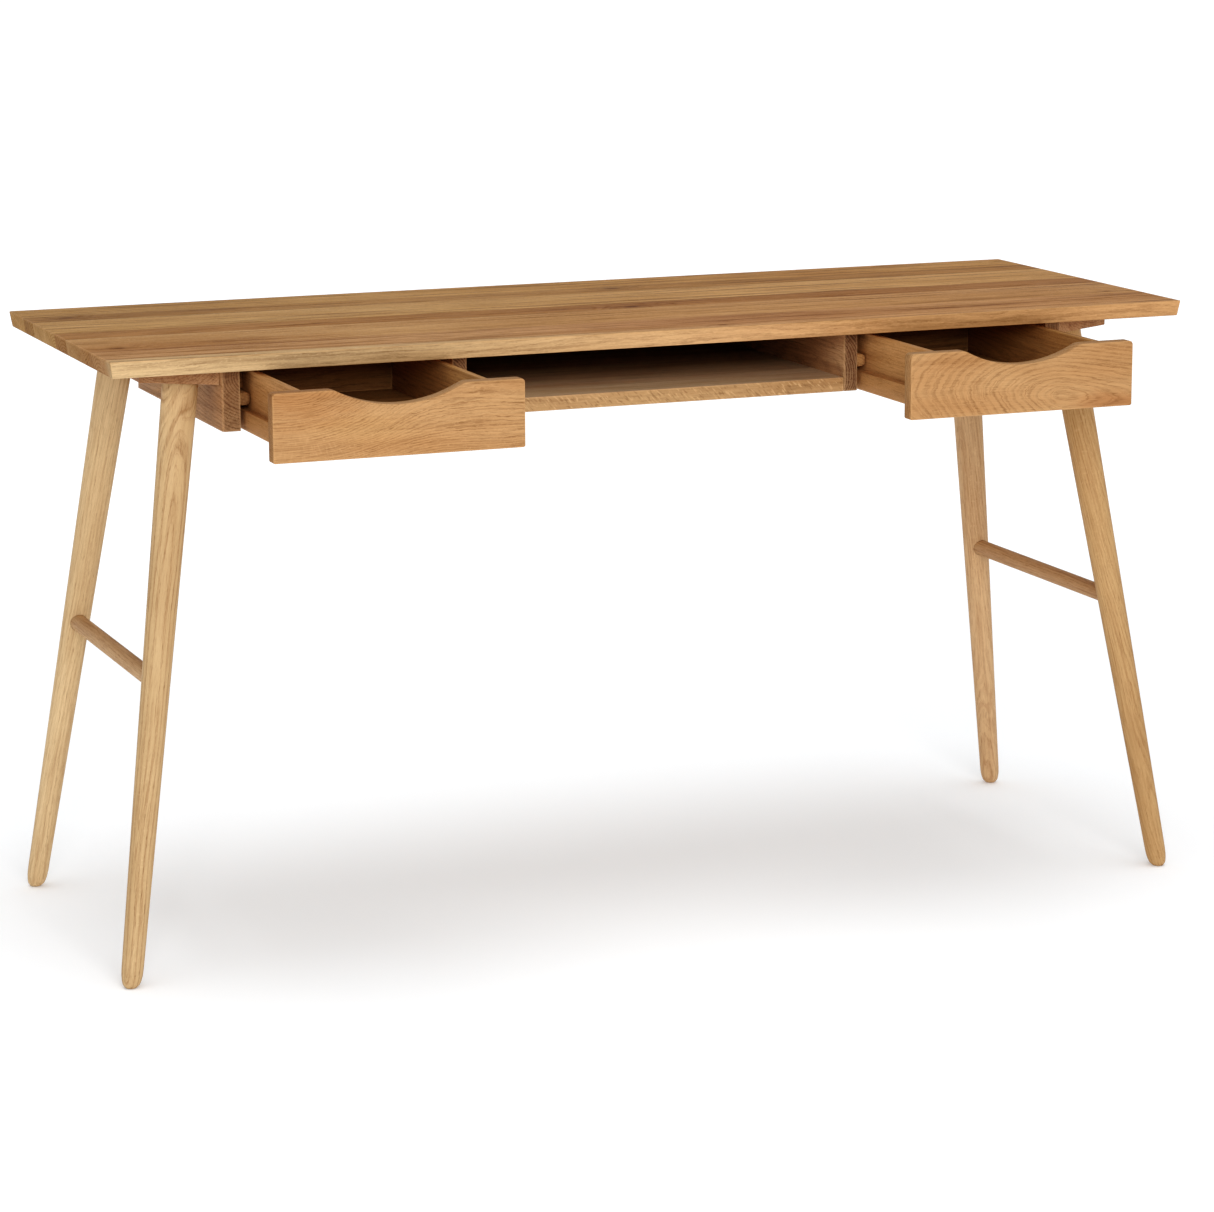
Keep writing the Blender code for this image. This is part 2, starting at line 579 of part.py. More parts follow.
def build_drawer(word, side):
    """Built round an empty on the slide's line, which stands where the front's back face is."""
    slide = bpy.data.objects.new(f"drawer_{word}_slide", None)
    parts.objects.link(slide)
    slide.parent = desk
    slide.location = (side * BAY_CENTRE_X, CASE_FRONT_Y - FIT_GAP - DRAWER_OPENING[word], 0)
    shift = side * (FRONT_CENTRE_X - BAY_CENTRE_X)
    front_bottom_z = UNDERSIDE_Z - FRONT_TOP_GAP[word] - FRONT_HEIGHT

    name = f"drawer_{word}_front"
    mesh = prism_mesh(name, front_outline(), lambda x, z, y: (x + shift, y, z + front_bottom_z),
                      -FRONT_THICKNESS, 0.0)
    front = soften(add_part(name, mesh, OAK_FRONT, 0.4, parent=slide), angle=math.radians(60))
    bm = bmesh.new()
    reach = BOX_INSIDE_WIDTH / 2 + BOTTOM_GROOVE_DEPTH
    bm.from_mesh(box_mesh(name, (-reach, -BOTTOM_GROOVE_DEPTH, BOTTOM_Z - FIT_GAP),
                          (reach, BOTTOM_GROOVE_DEPTH, BOTTOM_Z + BOTTOM_THICKNESS + FIT_GAP)))
    cutter = cutter_from(f"{name}_groove", bm)
    cutter.parent = slide
    cut(front, cutter)

    for hand_word, hand in (("left", -1), ("right", 1)):
        name = f"drawer_{word}_side_{hand_word}"
        mesh = prism_mesh(name, side_outline(hand), lambda x, z, y: (x, y, z), FIT_GAP, BOX_DEPTH)
        board = add_part(name, mesh, OAK_INSIDE, parent=slide)
        cut(board, runner_groove(name, hand, slide))
        soften(board, EDGE_SOFTENING / 2)

    x = BOX_INSIDE_WIDTH / 2 - FIT_GAP
    name = f"drawer_{word}_back"
    mesh = box_mesh(name, (-x, BOX_DEPTH - BOX_BACK_THICKNESS, BOTTOM_Z + BOTTOM_THICKNESS + FIT_GAP),
                    (x, BOX_DEPTH, BOX_TOP_Z))
    soften(add_part(name, mesh, OAK_INSIDE, parent=slide), EDGE_SOFTENING / 2)

    x = BOX_INSIDE_WIDTH / 2 + BOTTOM_GROOVE_DEPTH - FIT_GAP
    name = f"drawer_{word}_bottom"
    mesh = box_mesh(name, (-x, FIT_GAP - BOTTOM_GROOVE_DEPTH, BOTTOM_Z),
                    (x, BOX_DEPTH, BOTTOM_Z + BOTTOM_THICKNESS))
    add_part(name, mesh, OAK_INSIDE, parent=slide)


clear_scene()
parts = new_collection("writing_desk")
cutters = new_collection("writing_desk_cutters")
cutters.hide_render = True
desk = bpy.data.objects.new("desk_frame", None)
parts.objects.link(desk)
desk.location = (0, ORIGIN_SHIFT_Y, 0)
screw_mesh = build_screw_mesh()

build_top()
build_case()
for hand_word, hand in (("left", -1), ("right", 1)):
    build_runner(f"runner_{hand_word}_outer", hand * PANEL_INNER_X, -hand)
    build_runner(f"runner_{hand_word}_inner", hand * DIVIDER_OUTER_X, hand)
    build_leg_board(hand_word, hand)
    build_stretcher(hand_word, hand)
    build_leg(f"leg_front_{hand_word}", hand, -1)
    build_leg(f"leg_back_{hand_word}", hand, 1)
    build_drawer(hand_word, hand)
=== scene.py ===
"""Looks of the writing desk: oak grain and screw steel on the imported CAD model, on a white studio floor.

Every board has its own patch of one solid wood figure, so that faces, edges and end grain of a board agree.
Wood space: X along the grain, Y across the board, Z into it, in metres."""

import math

import bpy
from mathutils import Matrix, Vector


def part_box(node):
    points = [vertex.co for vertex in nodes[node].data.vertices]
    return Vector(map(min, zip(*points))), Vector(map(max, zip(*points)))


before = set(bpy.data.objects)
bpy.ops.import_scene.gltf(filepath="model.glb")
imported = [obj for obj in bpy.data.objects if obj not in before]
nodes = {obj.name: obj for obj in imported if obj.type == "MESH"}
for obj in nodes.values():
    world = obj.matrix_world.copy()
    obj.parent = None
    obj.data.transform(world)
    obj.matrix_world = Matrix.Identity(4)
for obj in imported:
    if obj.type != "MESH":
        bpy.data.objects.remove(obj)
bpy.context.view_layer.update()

# ---------------------------------------------------------------- node helpers


class Tree:
    """Short ways to add shader nodes. A socket or a number may be given wherever a value goes."""

    def __init__(self, tree):
        self.tree = tree

    def add(self, kind, **settings):
        node = self.tree.nodes.new(kind)
        for key, value in settings.items():
            setattr(node, key, value)
        return node

    def put(self, socket, value):
        if isinstance(value, bpy.types.NodeSocket):
            self.tree.links.new(value, socket)
        elif value is not None:
            socket.default_value = value

    def math(self, operation, a, b=None, c=None, clamp=False):
        node = self.add("ShaderNodeMath", operation=operation, use_clamp=clamp)
        for socket, value in zip(node.inputs, (a, b, c)):
            self.put(socket, value)
        return node.outputs[0]

    def vec(self, operation, a, b=None):
        node = self.add("ShaderNodeVectorMath", operation=operation)
        self.put(node.inputs[0], a)
        self.put(node.inputs[1], b)
        return node.outputs["Value" if operation == "DOT_PRODUCT" else 0]

    def split(self, vector):
        node = self.add("ShaderNodeSeparateXYZ")
        self.put(node.inputs[0], vector)
        return node.outputs

    def join(self, x, y, z):
        node = self.add("ShaderNodeCombineXYZ")
        for socket, value in zip(node.inputs, (x, y, z)):
            self.put(socket, value)
        return node.outputs[0]

    def hypot(self, a, b):
        return self.math("SQRT", self.math("ADD", self.math("MULTIPLY", a, a), self.math("MULTIPLY", b, b)))

    def noise(self, vector, scale, detail, roughness):
        node = self.add("ShaderNodeTexNoise")
        self.put(node.inputs["Vector"], vector)
        self.put(node.inputs["Scale"], scale)
        self.put(node.inputs["Detail"], detail)
        self.put(node.inputs["Roughness"], roughness)
        return node.outputs[0]

    def ramp(self, value, low, high, to_low=0.0, to_high=1.0):
        node = self.add("ShaderNodeMapRange", interpolation_type="SMOOTHSTEP")
        for socket, number in zip(node.inputs, (value, low, high, to_low, to_high)):
            self.put(socket, number)
        return node.outputs[0]

    def mix(self, factor, a, b, blend="MIX"):
        node = self.add("ShaderNodeMix", data_type="RGBA", blend_type=blend)
        self.put(node.inputs["Factor"], factor)
        self.put(node.inputs[6], a)
        self.put(node.inputs[7], b)
        return node.outputs[2]

    def bump(self, height, strength, distance):
        node = self.add("ShaderNodeBump")
        self.put(node.inputs["Strength"], strength)
        self.put(node.inputs["Distance"], distance)
        self.put(node.inputs["Height"], height)
        return node.outputs[0]

    def random(self, value):
        node = self.add("ShaderNodeTexWhiteNoise", noise_dimensions="1D")
        self.put(node.inputs["W"], value)
        return node.outputs[0]


def new_group(name, inputs, outputs):
    group = bpy.data.node_groups.new(name, "ShaderNodeTree")
    for kind, label, default in inputs:
        socket = group.interface.new_socket(label, in_out="INPUT", socket_type=kind)
        if default is not None:
            socket.default_value = default
    for kind, label in outputs:
        group.interface.new_socket(label, in_out="OUTPUT", socket_type=kind)
    tree = Tree(group)
    return group, tree, tree.add("NodeGroupInput").outputs, tree.add("NodeGroupOutput").inputs


def colour(r, g, b):
    """sRGB 0 to 255 as linear RGBA."""
    linear = [(v / 255 + 0.055) / 1.055 for v in (r, g, b)]
    return tuple(v ** 2.4 for v in linear) + (1.0,)


FLOAT, VECTOR, COLOUR = "NodeSocketFloat", "NodeSocketVector", "NodeSocketColor"

# ---------------------------------------------------------------- oak

# how fast each pattern changes along the grain, across it and into the board, per metre
WAVE_SCALE, RIPPLE_SCALE = (7.0, 34.0, 34.0), (80.0, 350.0, 350.0)
PORE_SCALE = (55.0, 1500.0, 1500.0)
STREAK_SCALE, DASH_SCALE = (9.0, 330.0, 330.0), (45.0, 620.0, 620.0)
BAND_SCALE, CLOUD_SCALE = (4.5, 135.0, 135.0), (3.2, 20.0, 20.0)
HAIR_SCALE = (950.0, 16.0, 30.0)     # along the radius, along the grain, across the board
RAY_SCALE = (300.0, 55.0, 60.0)      # along the grain, round the pith, along the radius
# how far the rings stray with each of them, in metres
WAVE_SIZE, RIPPLE_SIZE, RING_JITTER = 0.0085, 0.0027, 0.004
JITTER_SCALE = 45.0                  # how fast the rings' spacing changes along the radius, per metre
END_GRAIN = (0.45, 0.9)              # share of facing along the grain over which end grain sets in
FACE = (0.4, 0.9)                    # the same for the broad face of a board
PORE_COLOUR = (0.55, 0.48, 0.42)     # each of these three is a factor on the wood's own dark or pale
KNOT_COLOUR = (0.50, 0.36, 0.22)
RAY_COLOUR = (1.10, 1.10, 1.12)
# parts of a ring over which its early wood rises and falls, and over which its late wood rises
EARLY_RISE, EARLY_FALL, LATE_RISE = (0.0, 0.22), (0.22, 0.66), (0.40, 1.0)


def oak_group():
    """Growth rings round a wandering pith, pores, ray flecks and slow colour change, in wood space."""
    group, t, given, out = new_group(
        "oak",
        [
            (VECTOR, "Place", None),      # wood space, shifted by each board's own amount
            (VECTOR, "Pith", None),       # distance from the pith line across and into the board, in Y and Z
            (FLOAT, "Ring width", 0.0035),
            (FLOAT, "Ring contrast", 1.0),
            (FLOAT, "Wander", 1.0),       # how far the rings stray from smooth curves
            (FLOAT, "Sharpness", 2.0),    # 2 makes round arches, less makes pointed ones
            (FLOAT, "Streak", 1.0),       # how strong the fine streaks are
            (FLOAT, "Band", 1.0),         # how strong the broad streaks are
            (FLOAT, "Fleck", 0.3),
            (FLOAT, "Fleck lean", 0.0),   # how far the flecks lean over as they run through the board
            (FLOAT, "Along grain", 0.0),  # how far the surface faces along the grain: 1 on end grain
            (FLOAT, "End shade", 0.7),    # how dark end grain is next to the face
            (FLOAT, "Bend", 0.0),         # pushes the rings aside, round a knot
            (FLOAT, "Knot", 0.0),         # 1 in the heart of a knot
            (COLOUR, "Pale", None),
            (COLOUR, "Deep", None),
            (COLOUR, "Dark", None),
        ],
        [(COLOUR, "Colour"), (FLOAT, "Roughness"), (FLOAT, "Height")],
    )
    place = given["Place"]
    x, y, z = t.split(place)
    _, py, pz = t.split(given["Pith"])

    # rings: the distance from the pith, wavy at two sizes
    slow = t.noise(t.vec("MULTIPLY", place, WAVE_SCALE), 1.0, 2.0, 0.5)
    fine = t.noise(t.vec("MULTIPLY", place, RIPPLE_SCALE), 1.0, 2.0, 0.6)
    power = given["Sharpness"]
    across_part = t.math("POWER", t.math("ABSOLUTE", py), power)
    into_part = t.math("POWER", t.math("ABSOLUTE", pz), power)
    radius = t.math("POWER", t.math("ADD", across_part, into_part), t.math("DIVIDE", 1.0, power))
    stray = t.math("ADD", t.math("MULTIPLY", t.math("SUBTRACT", slow, 0.5), WAVE_SIZE),
                   t.math("MULTIPLY", t.math("SUBTRACT", fine, 0.5), RIPPLE_SIZE))
    radius = t.math("ADD", radius, t.math("MULTIPLY", stray, given["Wander"]))
    radius = t.math("ADD", radius, given["Bend"])
    uneven = t.noise(t.join(t.math("MULTIPLY", radius, JITTER_SCALE), 0.0, 0.0), 1.0, 1.0, 0.5)
    radius = t.math("ADD", radius, t.math("MULTIPLY", uneven, RING_JITTER))
    turn = t.math("DIVIDE", radius, given["Ring width"])
    phase = t.math("FRACT", turn)
    year = t.random(t.math("FLOOR", turn))
    end = t.ramp(given["Along grain"], *END_GRAIN)
    early = t.math("MULTIPLY", t.ramp(phase, *EARLY_RISE), t.ramp(phase, *EARLY_FALL, 1.0, 0.0))
    late = t.ramp(phase, *LATE_RISE)
    strength = t.math("MULTIPLY", given["Ring contrast"], t.ramp(year, 0.0, 1.0, 0.70, 1.05))
    strength = t.math("MULTIPLY", strength, t.math("ADD", 1.0, t.math("MULTIPLY", end, 0.8)))
    early = t.math("MULTIPLY", early, strength)
    # hair lines that follow the rings, several to a ring
    hair_place = t.join(*[t.math("MULTIPLY", part, scale) for part, scale in zip((radius, x, y), HAIR_SCALE)])
    hair = t.ramp(t.noise(hair_place, 1.0, 2.0, 0.6), 0.50, 0.74)
    hair = t.math("MULTIPLY", hair, given["Ring contrast"])

    # pores: short dark lines along the grain, thick in the early wood, round on end grain
    pores = t.ramp(t.noise(t.vec("MULTIPLY", place, PORE_SCALE), 1.0, 1.0, 0.6), 0.56, 0.70)
    pores = t.math("MULTIPLY", pores, t.math("ADD", 0.30, t.math("MULTIPLY", early, 0.75)))

    # coarser streaks that still show from a distance
    streak = t.noise(t.vec("MULTIPLY", place, STREAK_SCALE), 1.0, 3.0, 0.6)
    dashes = t.noise(t.vec("MULTIPLY", place, DASH_SCALE), 1.0, 2.0, 0.6)
    band = t.noise(t.vec("MULTIPLY", place, BAND_SCALE), 1.0, 3.0, 0.6)
    cloud = t.noise(t.vec("MULTIPLY", place, CLOUD_SCALE), 1.0, 3.0, 0.55)

    # ray flecks: short pale ribbons that run from the pith outwards
    angle = t.math("ARCTAN2", py, pz)
    leaning = t.math("ADD", x, t.math("MULTIPLY", z, given["Fleck lean"]))
    rays_run = (leaning, angle, radius)
    ray_place = t.join(*[t.math("MULTIPLY", part, scale) for part, scale in zip(rays_run, RAY_SCALE)])
    ray_noise = t.noise(ray_place, 1.0, 1.0, 0.5)
    rays = t.math("MULTIPLY", t.ramp(ray_noise, 0.58, 0.70), given["Fleck"])
    ray_shade = t.math("MULTIPLY", t.ramp(ray_noise, 0.30, 0.44, 1.0, 0.0), given["Fleck"])

    tone = t.mix(t.ramp(cloud, 0.30, 0.70), given["Pale"], given["Deep"])
    dark = given["Dark"]
    for pattern, low, high, kind, share in (
        (band, 0.50, 0.66, "Band", 0.44),
        (streak, 0.48, 0.72, "Streak", 0.40),
        (dashes, 0.52, 0.70, "Streak", 0.34),
    ):
        share = t.math("MULTIPLY", given[kind], share)
        tone = t.mix(t.math("MULTIPLY", t.ramp(pattern, low, high), share), tone, dark)
    late = t.math("MULTIPLY", late, t.math("MULTIPLY", given["Ring contrast"], 0.45), clamp=True)
    tone = t.mix(late, tone, given["Deep"])
    tone = t.mix(t.math("MULTIPLY", hair, 0.55, clamp=True), tone, dark)
    tone = t.mix(t.math("MULTIPLY", early, 0.33, clamp=True), tone, dark)
    tone = t.mix(t.math("MULTIPLY", ray_shade, 0.45), tone, dark)
    tone = t.mix(t.math("MULTIPLY", pores, 0.55, clamp=True), tone, t.vec("MULTIPLY", dark, PORE_COLOUR))
    tone = t.mix(rays, tone, t.vec("MULTIPLY", given["Pale"], RAY_COLOUR))
    keep = t.math("SUBTRACT", 1.0, t.math("MULTIPLY", end, t.math("SUBTRACT", 1.0, given["End shade"])))
    tone = t.vec("MULTIPLY", tone, t.join(keep, t.math("POWER", keep, 1.07), t.math("POWER", keep, 1.10)))
    knot = t.math("MULTIPLY", given["Knot"], 0.78, clamp=True)
    tone = t.mix(knot, tone, t.vec("MULTIPLY", dark, KNOT_COLOUR))
    t.put(out["Colour"], tone)

    rough = t.math("ADD", 0.54, t.math("MULTIPLY", early, 0.10))
    rough = t.math("ADD", rough, t.math("MULTIPLY", pores, 0.18))
    rough = t.math("ADD", rough, t.math("MULTIPLY", end, 0.12))
    rough = t.math("SUBTRACT", rough, t.math("MULTIPLY", rays, 0.12))
    t.put(out["Roughness"], t.math("ADD", rough, t.math("MULTIPLY", t.math("SUBTRACT", cloud, 0.5), 0.12)))
    height = t.math("ADD", t.math("MULTIPLY", pores, -0.8), t.math("MULTIPLY", early, -0.25))
    t.put(out["Height"], t.math("ADD", height, t.math("MULTIPLY", streak, 0.22)))
    return group


def edge_group():
    """1 at the edges of a box-shaped board and 0 away from them, broken up by a slow noise: where wear and a
    painted highlight go.
    """
    group, t, given, out = new_group(
        "edge wear and highlight",
        [(VECTOR, "Place", None), (VECTOR, "Centre", None), (VECTOR, "Half", None), (FLOAT, "Width", 0.003)],
        [(FLOAT, "Edge")],
    )
    from_centre = t.vec("ABSOLUTE", t.vec("SUBTRACT", given["Place"], given["Centre"]))
    inside = t.vec("SUBTRACT", given["Half"], from_centre)
    a, b, c = t.split(inside)
    low = t.math("MINIMUM", a, b)
    high = t.math("MAXIMUM", a, b)
    middle = t.math("MAXIMUM", low, t.math("MINIMUM", high, c))
    wear_and_highlight = t.noise(given["Place"], 38.0, 3.0, 0.6)
    width = t.math("MULTIPLY", given["Width"], t.math("ADD", 0.45, wear_and_highlight))
    t.put(out["Edge"], t.ramp(t.math("DIVIDE", middle, width), 0.0, 1.0, 1.0, 0.0))
    return group


OAK = oak_group()
EDGE = edge_group()

# how each kind of oak is coloured: pale wood, deeper wood, and the dark of the early wood
PALETTES = {
    "top": (colour(202, 156, 106), colour(182, 136, 89), colour(119, 81, 49)),
    "front": (colour(192, 149, 103), colour(178, 131, 86), colour(125, 85, 52)),
    "leg": (colour(208, 170, 125), colour(188, 149, 106), colour(144, 100, 64)),
    "case": (colour(197, 158, 117), colour(175, 132, 94), colour(118, 83, 57)),
    "inside": (colour(200, 156, 107), colour(176, 130, 83), colour(122, 86, 53)),
}

SEED_STEP = (3.71, 1.37, 2.13)       # how far apart the patches of wood of two boards lie, in metres per seed
PITH_DRIFT = 0.022                   # how far the pith wanders sideways along a board, in metres
# pale edges: partly wear, partly a painted highlight where the arrises catch the light
EDGE_WEAR_AND_HIGHLIGHT_SHARE, EDGE_WEAR_AND_HIGHLIGHT_COLOUR = 0.30, (1.12, 1.10, 1.06)
PATCH_SCALE, PATCH_RAGGED = (16.0, 60.0, 60.0), 1.6
WOOD_BUMP, STEEL_BUMP = (0.35, 0.0003), (0.2, 0.0001)   # strength, and height in metres
WOOD_IOR = 1.45


def material(name):
    made = bpy.data.materials.new(name)
    made.use_nodes = True
    made.node_tree.nodes.clear()
    return made, Tree(made.node_tree)


def wood_axes(along, into):
    """Along the grain, across the board and into it, from the names of the first and the last."""
    unit = {"x": Vector((1, 0, 0)), "y": Vector((0, 1, 0)), "z": Vector((0, 0, 1))}
    first, third = unit[along], unit[into]
    return first, third.cross(first), third


def wood_place(point, along, into):
    """A place in the row frame, in the wood space of a board."""
    return tuple(Vector(point).dot(axis) for axis in wood_axes(along, into))


def oak_material(
    name,
    along="x",
    into="z",
    palette="case",
    pith=(0.0, 0.0, 0.0),
    slope=0.0,
    rounding=0.02,
    reach=None,
    tilt=0.0,
    ring_width=0.0035,
    contrast=1.0,
    wander=1.0,
    sharpness=2.0,
    streak=1.0,
    band=None,
    fleck=0.3,
    fleck_lean=0.0,
    seed=0.0,
    frame_axes=None,
    box=None,
    tint=(1.0, 1.0, 1.0),
    face_tint=None,
    end_shade=0.7,
    gloss=0.12,
    planks=None,
    patches=(),
):
    """Oak for one board. pith is the place in wood space nearest to the pith: rings widen into arches there.

    slope is how fast the pith leaves the surface on either side of it, as one number or as one for each
    side, and tilt is how far it wanders sideways. reach is where the pith stops leaving, past it.

    contrast, streak, band and fleck may be given as (on the face, on the edges). face_tint colours the face
    that looks out of the board, and not the one behind. patches are places with their own tone: a place in
    wood space, the half size along and across the grain, and the tone."""
    made, t = material(name)
    coord = t.add("ShaderNodeTexCoord")
    axes = frame_axes or wood_axes(along, into)
    where, facing = coord.outputs["Object"], coord.outputs["Normal"]
    wood = t.join(*[t.vec("DOT_PRODUCT", where, tuple(axis)) for axis in axes])
    facing_along = t.math("ABSOLUTE", t.vec("DOT_PRODUCT", facing, tuple(axes[0])))

    plank_tint, bend, knot = None, 0.0, 0.0
    shift = tuple(seed * step for step in SEED_STEP)
    if planks:
        shift, plank_tint, pith_offset, bend, knot = planks(t, wood)
    moved = t.vec("ADD", wood, shift)

    x, y, z = t.split(wood)
    if planks:
        px, py, pz = t.split(pith_offset)
    else:
        px, py, pz = pith
    along_x = t.math("SUBTRACT", x, px)
    drift = t.noise(t.join(t.math("MULTIPLY", t.split(moved)[0], 3.0), seed, 0.0), 1.0, 1.0, 0.5)
    drift = t.math("MULTIPLY", t.math("SUBTRACT", drift, 0.5), PITH_DRIFT)
    before, after = slope if isinstance(slope, tuple) else (slope, slope)
    past = t.math("MAXIMUM", along_x, 0.0)
    if reach:
        past = t.math("SMOOTH_MIN", past, reach, 0.06)
    leaving = t.math("ADD", t.math("MULTIPLY", t.math("MINIMUM", along_x, 0.0), before),
                     t.math("MULTIPLY", past, after))
    leaving = t.math("SQRT", t.math("ADD", t.math("MULTIPLY", leaving, leaving), rounding * rounding))
    across = t.math("SUBTRACT", t.math("SUBTRACT", y, py), t.math("MULTIPLY", along_x, tilt))
    across = t.math("ADD", across, drift)
    depth = t.math("ADD", t.math("SUBTRACT", z, pz), t.math("SUBTRACT", leaving, rounding))

    outward = t.vec("DOT_PRODUCT", facing, tuple(axes[2]))
    upon = t.ramp(t.math("ABSOLUTE", outward), *FACE)
    contrast, streak, band, fleck = (
        t.math("ADD", v[1], t.math("MULTIPLY", upon, v[0] - v[1])) if isinstance(v, tuple) else v
        for v in (contrast, streak, streak if band is None else band, fleck))

    grain = t.add("ShaderNodeGroup", node_tree=OAK)
    pale, deep, dark = PALETTES[palette]
    tinted = [tuple(c * k for c, k in zip(shade[:3], tint)) + (1.0,) for shade in (pale, deep, dark)]
    for label, value in (
        ("Place", moved),
        ("Pith", t.join(0.0, across, depth)),
        ("Ring width", ring_width),
        ("Ring contrast", contrast),
        ("Wander", wander),
        ("Sharpness", sharpness),
        ("Streak", streak),
        ("Band", band),
        ("Fleck", fleck),
        ("Fleck lean", fleck_lean),
        ("Along grain", facing_along),
        ("End shade", end_shade),
        ("Bend", bend),
        ("Knot", knot),
        ("Pale", tinted[0]),
        ("Deep", tinted[1]),
        ("Dark", tinted[2]),
    ):
        t.put(grain.inputs[label], value)
    shade = grain.outputs["Colour"]
    if plank_tint is not None:
        shade = t.mix(1.0, shade, plank_tint, "MULTIPLY")
    if face_tint:
        shade = t.mix(t.ramp(outward, *FACE), shade, t.vec("MULTIPLY", shade, face_tint))
    if patches:
        ragged = t.noise(t.vec("MULTIPLY", wood, PATCH_SCALE), 1.0, 3.0, 0.6)
    for place, (half_along, half_across), tone in patches:
        u = t.math("DIVIDE", t.math("SUBTRACT", x, place[0]), half_along)
        v = t.math("DIVIDE", t.math("SUBTRACT", y, place[1]), half_across)
        away = t.math("ADD", t.hypot(u, v), t.math("MULTIPLY", t.math("SUBTRACT", ragged, 0.5), PATCH_RAGGED))
        shade = t.mix(t.ramp(away, 0.2, 1.4, 1.0, 0.0), shade, t.vec("MULTIPLY", shade, tone))
    rough = grain.outputs["Roughness"]
    # paler, smoother edges: partly wear, partly a painted highlight along the arrises
    if box:
        low, high = box
        edge = t.add("ShaderNodeGroup", node_tree=EDGE)
        t.put(edge.inputs["Place"], where)
        t.put(edge.inputs["Centre"], tuple((low + high) / 2))
        t.put(edge.inputs["Half"], tuple((high - low) / 2))
        wear_and_highlight = edge.outputs["Edge"]
        shade = t.mix(t.math("MULTIPLY", wear_and_highlight, EDGE_WEAR_AND_HIGHLIGHT_SHARE), shade, t.vec("MULTIPLY", pale[:3], EDGE_WEAR_AND_HIGHLIGHT_COLOUR))
        rough = t.math("SUBTRACT", rough, t.math("MULTIPLY", wear_and_highlight, 0.10))

    bump = t.bump(grain.outputs["Height"], *WOOD_BUMP)
    shader = t.add("ShaderNodeBsdfPrincipled")
    shader.inputs["IOR"].default_value = WOOD_IOR
    shader.inputs["Specular IOR Level"].default_value = gloss
    t.put(shader.inputs["Base Color"], shade)
    t.put(shader.inputs["Roughness"], rough)
    t.put(shader.inputs["Normal"], bump)
    t.put(t.add("ShaderNodeOutputMaterial").inputs["Surface"], shader.outputs[0])
    return made


def steel_material():
    """Zinc-plated screw: brushed rings, faint blotches."""
    made, t = material("screw_steel")
    where = t.add("ShaderNodeTexCoord").outputs["Object"]
    blotch = t.noise(where, 900.0, 3.0, 0.6)
    scratch = t.noise(t.vec("MULTIPLY", where, (3000.0, 3000.0, 600.0)), 1.0, 2.0, 0.6)
    shade = t.mix(blotch, (0.50, 0.49, 0.46, 1.0), (0.66, 0.64, 0.60, 1.0))
    shade = t.mix(t.math("MULTIPLY", scratch, 0.25), shade, (0.30, 0.29, 0.27, 1.0))
    bump = t.bump(scratch, *STEEL_BUMP)
    shader = t.add("ShaderNodeBsdfPrincipled")
    shader.inputs["Metallic"].default_value = 1.0
    t.put(shader.inputs["Base Color"], shade)
    t.put(shader.inputs["Roughness"], t.ramp(blotch, 0.2, 0.8, 0.28, 0.45))
    t.put(shader.inputs["Normal"], bump)
    t.put(t.add("ShaderNodeOutputMaterial").inputs["Surface"], shader.outputs[0])
    return made


# ---------------------------------------------------------------- the tabletop's planks

# far edge of each plank across the top, in metres from the middle of the top, and its tone
PLANKS = (
    (-0.150, (1.00, 0.97, 1.02)),
    (-0.040, (1.07, 1.06, 1.04)),
    (0.015, (0.83, 0.72, 0.61)),
    (0.125, (1.21, 1.24, 1.12)),
    (0.175, (0.94, 0.86, 0.66)),
    (0.260, (1.17, 1.14, 0.92)),
)
# knots in the top: place from the middle of the top, half width across the grain
KNOTS = ((-0.650, 0.155, 0.0060), (0.080, 0.157, 0.0085), (0.035, -0.027, 0.0075), (0.662, -0.128, 0.0035),
         (0.072, -0.231, 0.0045), (-0.662, -0.138, 0.0055))
KNOT_LENGTH = 2.3                    # a knot's length as a multiple of its width
SEAM_HALF = (0.0002, 0.0006)         # how far from its middle a seam starts and ends to fade
SEAM_SHARE, SEAM_COLOUR = 0.35, (0.45, 0.38, 0.32, 1.0)
SAPWOOD = (1.15, 1.36, 1.62, 1.0)
SAP_FADE = (-0.232, -0.205)          # Y over which the sapwood at the front edge gives way
SAP_END = (-0.55, 0.30)              # X over which it runs out
LEFT_TONE, RIGHT_TONE = (0.99, 1.03, 1.06, 1.0), (1.02, 0.98, 0.92, 1.0)
PITH_SPREAD, PITH_SHAKE = 0.46, 0.09  # how far apart the piths lie across the top, and off their places
PITH_LEVEL, PITH_DROP = 0.735, 0.05  # how high the highest pith lies, and how far below it the others may
TOP_CENTRE_Y = sum(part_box("tabletop")[i].y for i in (0, 1)) / 2
# darker places in the top: the middle and the half size of each in the row frame, and its tone
TOP_PATCHES = tuple(((x, y + TOP_CENTRE_Y), size, tone) for x, y, size, tone in (
    (-0.60, -0.135, (0.20, 0.040), (0.84, 0.76, 0.72)),
    (0.08, -0.190, (0.26, 0.055), (0.88, 0.83, 0.85)),
    (0.34, 0.215, (0.20, 0.030), (0.86, 0.80, 0.74)),
    (-0.58, 0.152, (0.18, 0.024), (0.80, 0.76, 0.74)),
    (0.02, -0.015, (0.12, 0.022), (0.82, 0.76, 0.72)),
))


